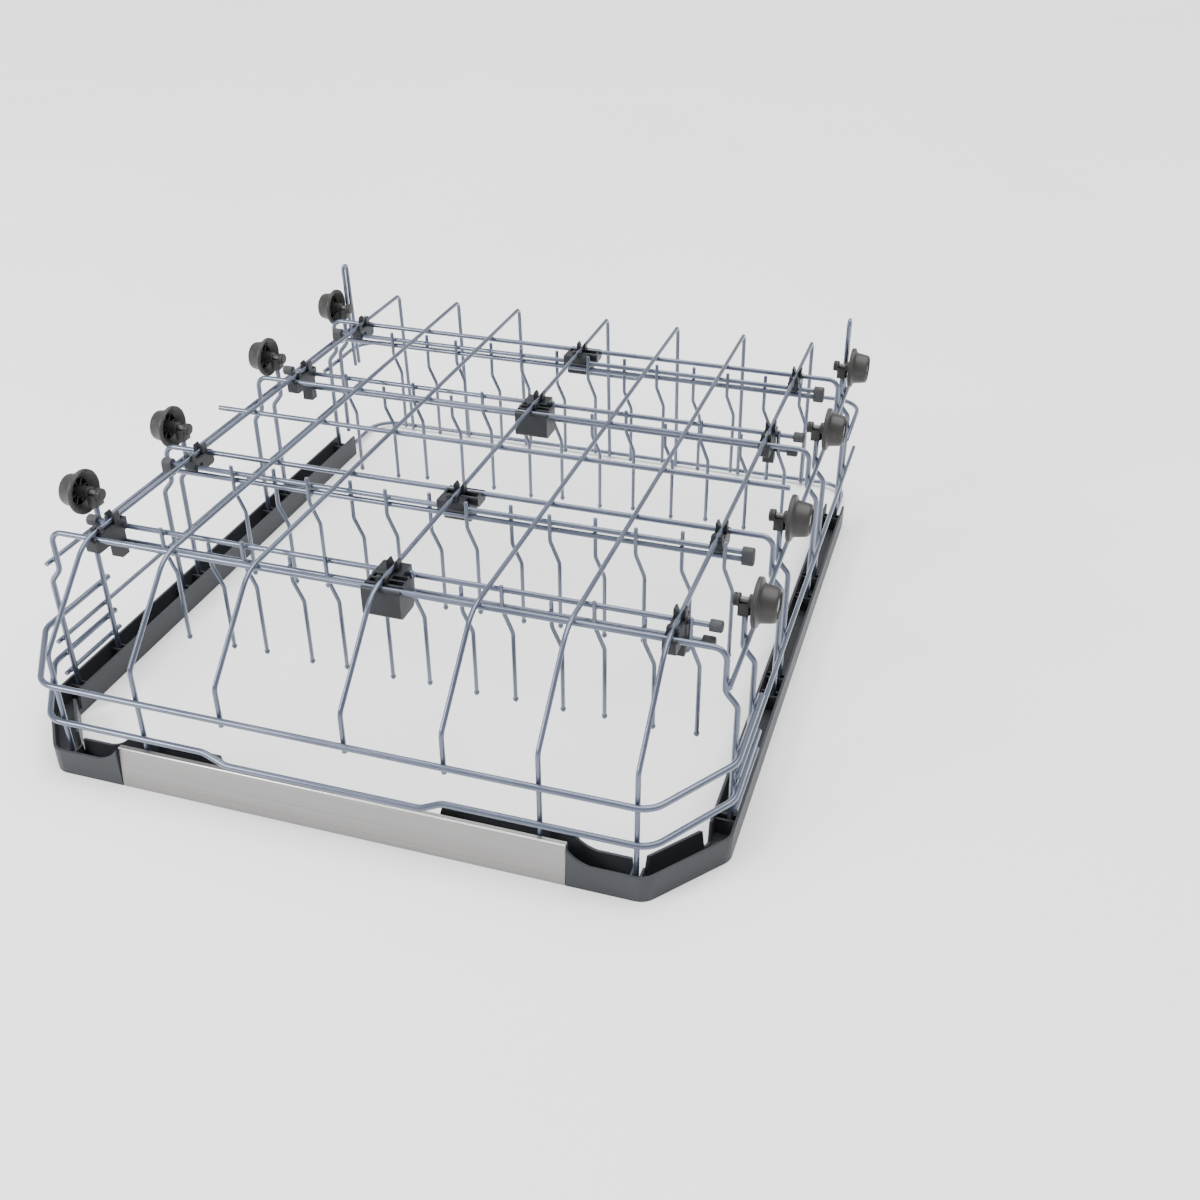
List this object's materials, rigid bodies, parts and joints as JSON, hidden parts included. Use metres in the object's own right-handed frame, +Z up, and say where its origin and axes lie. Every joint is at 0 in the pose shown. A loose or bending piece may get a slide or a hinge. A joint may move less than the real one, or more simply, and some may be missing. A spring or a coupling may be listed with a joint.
{
  "type": "dishwasher basket",
  "caption": "Lower wire rack of a dishwasher, upside down: plastic rim with steel handle strip, folding tine rows on clips, and side wheels on brackets.",
  "frame": {"origin": "middle of the rack's outline in plan, on the surface that the upside-down plastic rim stands on", "axes": "+X right as seen from the handle, -Y towards the handle at the front, +Z up from the rim to the floor wires and wheels; turned over about Y for use"},
  "size_m": [0.5348, 0.6036, 0.1938],
  "materials": {
    "coated_wire": "satin polyamide-coated steel wire",
    "clip_plastic": "dark moulded plastic",
    "cap_plastic": "soft grey plastic cap",
    "wheel_plastic": "grey moulded plastic, slightly shiny",
    "rim_plastic": "slate grey moulded plastic",
    "strip_steel": "brushed stainless steel",
    "pin_steel": "plain steel"
  },
  "bodies": {
    "rack": {"rim_frame": "rim_plastic", "handle_strip": "strip_steel", "lengthwise_wire_1": "coated_wire", "lengthwise_wire_2": "coated_wire", "lengthwise_wire_3": "coated_wire", "lengthwise_wire_4": "coated_wire", "lengthwise_wire_5": "coated_wire", "lengthwise_wire_6": "coated_wire", "lengthwise_wire_7": "coated_wire", "cross_wire_d": "coated_wire", "cross_wire_c": "coated_wire", "cross_wire_b": "coated_wire", "cross_wire_a": "coated_wire", "cross_wire_middle": "coated_wire", "upper_rim_wire": "coated_wire", "lower_rim_wire": "coated_wire", "side_wires_left": "coated_wire", "side_wires_right": "coated_wire", "upper_back_wire": "coated_wire", "lower_back_wire": "coated_wire", "rear_prongs": "coated_wire", "wheel_posts_left": "coated_wire", "wheel_posts_right": "coated_wire", "wheel_bracket_left_1": "wheel_plastic", "wheel_bracket_left_2": "wheel_plastic", "wheel_bracket_left_3": "wheel_plastic", "wheel_bracket_left_4": "wheel_plastic", "wheel_bracket_right_1": "wheel_plastic", "wheel_bracket_right_2": "wheel_plastic", "wheel_bracket_right_3": "wheel_plastic", "wheel_bracket_right_4": "wheel_plastic", "axle_pins": "pin_steel", "hinge_clip_d_left": "clip_plastic", "hinge_clip_d_middle": "clip_plastic", "hinge_clip_d_right": "clip_plastic", "hinge_clip_c_left": "clip_plastic", "hinge_clip_c_middle": "clip_plastic", "hinge_clip_c_right": "clip_plastic", "hinge_clip_b_left": "clip_plastic", "hinge_clip_b_middle": "clip_plastic", "hinge_clip_b_right": "clip_plastic", "hinge_clip_a_left": "clip_plastic", "hinge_clip_a_middle": "clip_plastic", "hinge_clip_a_right": "clip_plastic"},
    "tine_row_d": {"tine_row_d": "coated_wire", "tine_row_d_caps": "cap_plastic"},
    "tine_row_c": {"tine_row_c": "coated_wire", "tine_row_c_caps": "cap_plastic"},
    "tine_row_b": {"tine_row_b": "coated_wire", "tine_row_b_caps": "cap_plastic"},
    "tine_row_a": {"tine_row_a": "coated_wire", "tine_row_a_caps": "cap_plastic"},
    "wheel_left_1": {"wheel_left_1": "wheel_plastic"},
    "wheel_left_2": {"wheel_left_2": "wheel_plastic"},
    "wheel_left_3": {"wheel_left_3": "wheel_plastic"},
    "wheel_left_4": {"wheel_left_4": "wheel_plastic"},
    "wheel_right_1": {"wheel_right_1": "wheel_plastic"},
    "wheel_right_2": {"wheel_right_2": "wheel_plastic"},
    "wheel_right_3": {"wheel_right_3": "wheel_plastic"},
    "wheel_right_4": {"wheel_right_4": "wheel_plastic"}
  },
  "joints": [
    {"name": "tine_row_d_fold", "type": "hinge", "parent": "rack", "child": "tine_row_d", "pos_m": [0, -0.1918, 0.1453], "axis": [1, 0, 0], "range_deg": [0, 80]},
    {"name": "tine_row_c_fold", "type": "hinge", "parent": "rack", "child": "tine_row_c", "pos_m": [0, -0.0955, 0.1453], "axis": [1, 0, 0], "range_deg": [0, 78]},
    {"name": "tine_row_b_fold", "type": "hinge", "parent": "rack", "child": "tine_row_b", "pos_m": [0, 0.0982, 0.1453], "axis": [1, 0, 0], "range_deg": [0, 80]},
    {"name": "tine_row_a_fold", "type": "hinge", "parent": "rack", "child": "tine_row_a", "pos_m": [0, 0.1945, 0.1453], "axis": [1, 0, 0], "range_deg": [0, 78]},
    {"name": "wheel_left_1_spin", "type": "hinge", "parent": "rack", "child": "wheel_left_1", "pos_m": [-0.259, -0.1691, 0.1535], "axis": [1, 0, 0], "continuous": true},
    {"name": "wheel_left_2_spin", "type": "hinge", "parent": "rack", "child": "wheel_left_2", "pos_m": [-0.259, -0.0517, 0.1535], "axis": [1, 0, 0], "continuous": true},
    {"name": "wheel_left_3_spin", "type": "hinge", "parent": "rack", "child": "wheel_left_3", "pos_m": [-0.259, 0.1032, 0.1535], "axis": [1, 0, 0], "continuous": true},
    {"name": "wheel_left_4_spin", "type": "hinge", "parent": "rack", "child": "wheel_left_4", "pos_m": [-0.259, 0.2367, 0.1535], "axis": [1, 0, 0], "continuous": true},
    {"name": "wheel_right_1_spin", "type": "hinge", "parent": "rack", "child": "wheel_right_1", "pos_m": [0.259, -0.1691, 0.1535], "axis": [1, 0, 0], "continuous": true},
    {"name": "wheel_right_2_spin", "type": "hinge", "parent": "rack", "child": "wheel_right_2", "pos_m": [0.259, -0.0517, 0.1535], "axis": [1, 0, 0], "continuous": true},
    {"name": "wheel_right_3_spin", "type": "hinge", "parent": "rack", "child": "wheel_right_3", "pos_m": [0.259, 0.1032, 0.1535], "axis": [1, 0, 0], "continuous": true},
    {"name": "wheel_right_4_spin", "type": "hinge", "parent": "rack", "child": "wheel_right_4", "pos_m": [0.259, 0.2367, 0.1535], "axis": [1, 0, 0], "continuous": true}
  ]
}
